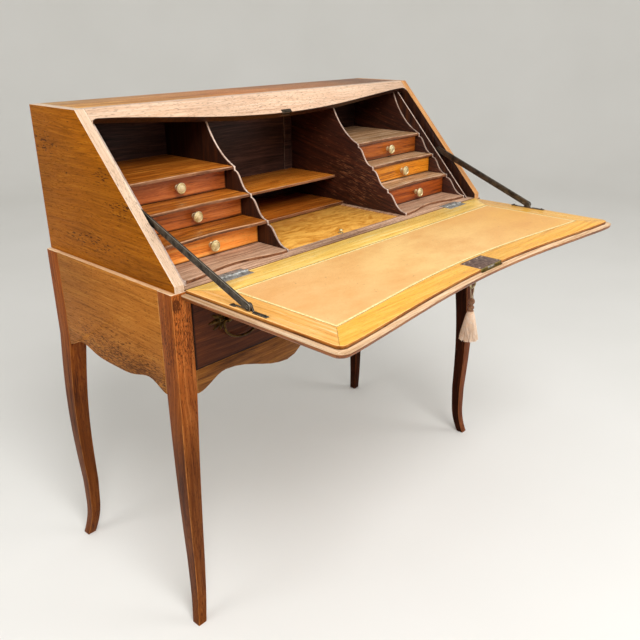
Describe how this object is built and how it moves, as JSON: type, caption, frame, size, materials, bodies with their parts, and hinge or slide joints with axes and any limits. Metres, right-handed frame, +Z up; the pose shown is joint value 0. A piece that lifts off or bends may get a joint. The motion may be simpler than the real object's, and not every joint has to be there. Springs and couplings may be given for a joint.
{
  "type": "slant-front desk",
  "caption": "Antique slant-front writing desk on cabriole legs: the fall opens on iron stays over stepped nests of small drawers, a sliding well lid and deep base drawers.",
  "frame": {"origin": "on the floor, at the middle of the footprint of the desk with its fall open", "axes": "+Z up, front towards -Y, +X to the right seen from the front"},
  "size_m": [1.032, 0.7976, 1.005],
  "materials": {
    "brass": "aged",
    "dark_wood": "satin",
    "fall_wood": "gloss",
    "front_wood": "polished",
    "iron": "dark",
    "leather": "satin",
    "leg_wood": "satin",
    "lid_wood": "polished",
    "pale_wood": "polished",
    "shelf_wood": "satin",
    "silk": "matte",
    "steel": "worn",
    "walnut": "polished"
  },
  "bodies": {
    "desk": {"back_rail": "leg_wood", "case_back": "dark_wood", "case_floor": "shelf_wood", "case_side_left": "walnut", "case_side_right": "walnut", "case_top": "walnut", "center_shelf": "shelf_wood", "drawer_housing_left": "leg_wood", "drawer_housing_right": "leg_wood", "front_apron": "walnut", "hinge_leaf_case_left": "steel", "hinge_leaf_case_right": "steel", "leg_back_left": "leg_wood", "leg_back_right": "leg_wood", "leg_front_left": "leg_wood", "leg_front_right": "leg_wood", "nest_left": "dark_wood", "nest_right": "dark_wood", "partition_left": "dark_wood", "partition_right": "dark_wood", "rear_board": "shelf_wood", "side_apron_left": "walnut", "side_apron_right": "walnut", "strike_plate": "iron", "top_rail": "pale_wood", "well_box": "leg_wood"},
    "bail_left": {"bail_left": "brass"},
    "bail_right": {"bail_right": "brass"},
    "drawer_left": {"drawer_left": "dark_wood", "handle_plate_left": "brass"},
    "drawer_right": {"drawer_right": "dark_wood", "handle_plate_right": "brass"},
    "fall": {"fall_board": "fall_wood", "fall_leather": "leather", "hinge_leaf_fall_left": "steel", "hinge_leaf_fall_right": "steel", "lock_case": "iron", "stay_bracket_left": "iron", "stay_bracket_right": "iron"},
    "key": {"key": "brass"},
    "small_drawer_left_high": {"knob_left_high": "brass", "small_drawer_left_high": "front_wood"},
    "small_drawer_left_low": {"knob_left_low": "brass", "small_drawer_left_low": "front_wood"},
    "small_drawer_left_middle": {"knob_left_middle": "brass", "small_drawer_left_middle": "front_wood"},
    "small_drawer_right_high": {"knob_right_high": "brass", "small_drawer_right_high": "front_wood"},
    "small_drawer_right_low": {"knob_right_low": "brass", "small_drawer_right_low": "front_wood"},
    "small_drawer_right_middle": {"knob_right_middle": "brass", "small_drawer_right_middle": "front_wood"},
    "lock_bolt": {"lock_bolt": "steel"},
    "stay_left": {"stay_left": "iron"},
    "stay_right": {"stay_right": "iron"},
    "tassel": {"tassel": "silk", "tassel_cord": "silk"},
    "well_lid": {"well_lid": "lid_wood", "well_lid_pull": "brass"}
  },
  "joints": [
    {"name": "fall_hinge", "type": "hinge", "parent": "desk", "child": "fall", "pos_m": [0, -0.03516, 0.7225], "axis": [1, 0, 0], "range_deg": [-132.89, 0]},
    {"name": "stay_pivot_left", "type": "hinge", "parent": "fall", "child": "stay_left", "pos_m": [-0.47, -0.18966, 0.7305], "axis": [1, 0, 0], "range_deg": [0, 93.39]},
    {"name": "stay_pivot_right", "type": "hinge", "parent": "fall", "child": "stay_right", "pos_m": [0.47, -0.18966, 0.7305], "axis": [1, 0, 0], "range_deg": [0, 93.39]},
    {"name": "key_turn", "type": "hinge", "parent": "fall", "child": "key", "pos_m": [0, -0.31904, 0.7035], "axis": [0, 0, 1], "range_deg": [0, 90]},
    {"name": "bolt_slide", "type": "slide", "parent": "fall", "child": "lock_bolt", "axis": [0, -1, 0], "range_m": [0, 0.0091]},
    {"name": "tassel_swing", "type": "hinge", "parent": "key", "child": "tassel", "pos_m": [0, -0.31904, 0.6675], "axis": [1, 0, 0], "range_deg": [0, 98.5]},
    {"name": "drawer_slide_left", "type": "slide", "parent": "desk", "child": "drawer_left", "axis": [0, -1, 0], "range_m": [0, 0.24]},
    {"name": "bail_swing_left", "type": "hinge", "parent": "drawer_left", "child": "bail_left", "pos_m": [-0.35245, -0.04296, 0.644], "axis": [-1, 0, 0], "range_deg": [0, 85]},
    {"name": "drawer_slide_right", "type": "slide", "parent": "desk", "child": "drawer_right", "axis": [0, -1, 0], "range_m": [0, 0.24]},
    {"name": "bail_swing_right", "type": "hinge", "parent": "drawer_right", "child": "bail_right", "pos_m": [0.35245, -0.04296, 0.644], "axis": [-1, 0, 0], "range_deg": [0, 85]},
    {"name": "small_drawer_slide_left_low", "type": "slide", "parent": "desk", "child": "small_drawer_left_low", "axis": [0, -1, 0], "range_m": [0, 0.18]},
    {"name": "small_drawer_slide_left_middle", "type": "slide", "parent": "desk", "child": "small_drawer_left_middle", "axis": [0, -1, 0], "range_m": [0, 0.15]},
    {"name": "small_drawer_slide_left_high", "type": "slide", "parent": "desk", "child": "small_drawer_left_high", "axis": [0, -1, 0], "range_m": [0, 0.12]},
    {"name": "small_drawer_slide_right_low", "type": "slide", "parent": "desk", "child": "small_drawer_right_low", "axis": [0, -1, 0], "range_m": [-0.018, 0.162]},
    {"name": "small_drawer_slide_right_middle", "type": "slide", "parent": "desk", "child": "small_drawer_right_middle", "axis": [0, -1, 0], "range_m": [-0.018, 0.132]},
    {"name": "small_drawer_slide_right_high", "type": "slide", "parent": "desk", "child": "small_drawer_right_high", "axis": [0, -1, 0], "range_m": [-0.018, 0.102]},
    {"name": "well_lid_slide", "type": "slide", "parent": "desk", "child": "well_lid", "axis": [0, 1, 0], "range_m": [0, 0.15]}
  ],
  "couplings": [
    {"joint": "stay_pivot_left", "follows": "fall_hinge", "ratio": -0.699},
    {"joint": "stay_pivot_right", "follows": "fall_hinge", "ratio": -0.699},
    {"joint": "bolt_slide", "follows": "key_turn", "m_per_rad": 0.00573},
    {"joint": "tassel_swing", "follows": "fall_hinge", "ratio": -0.73745}
  ]
}
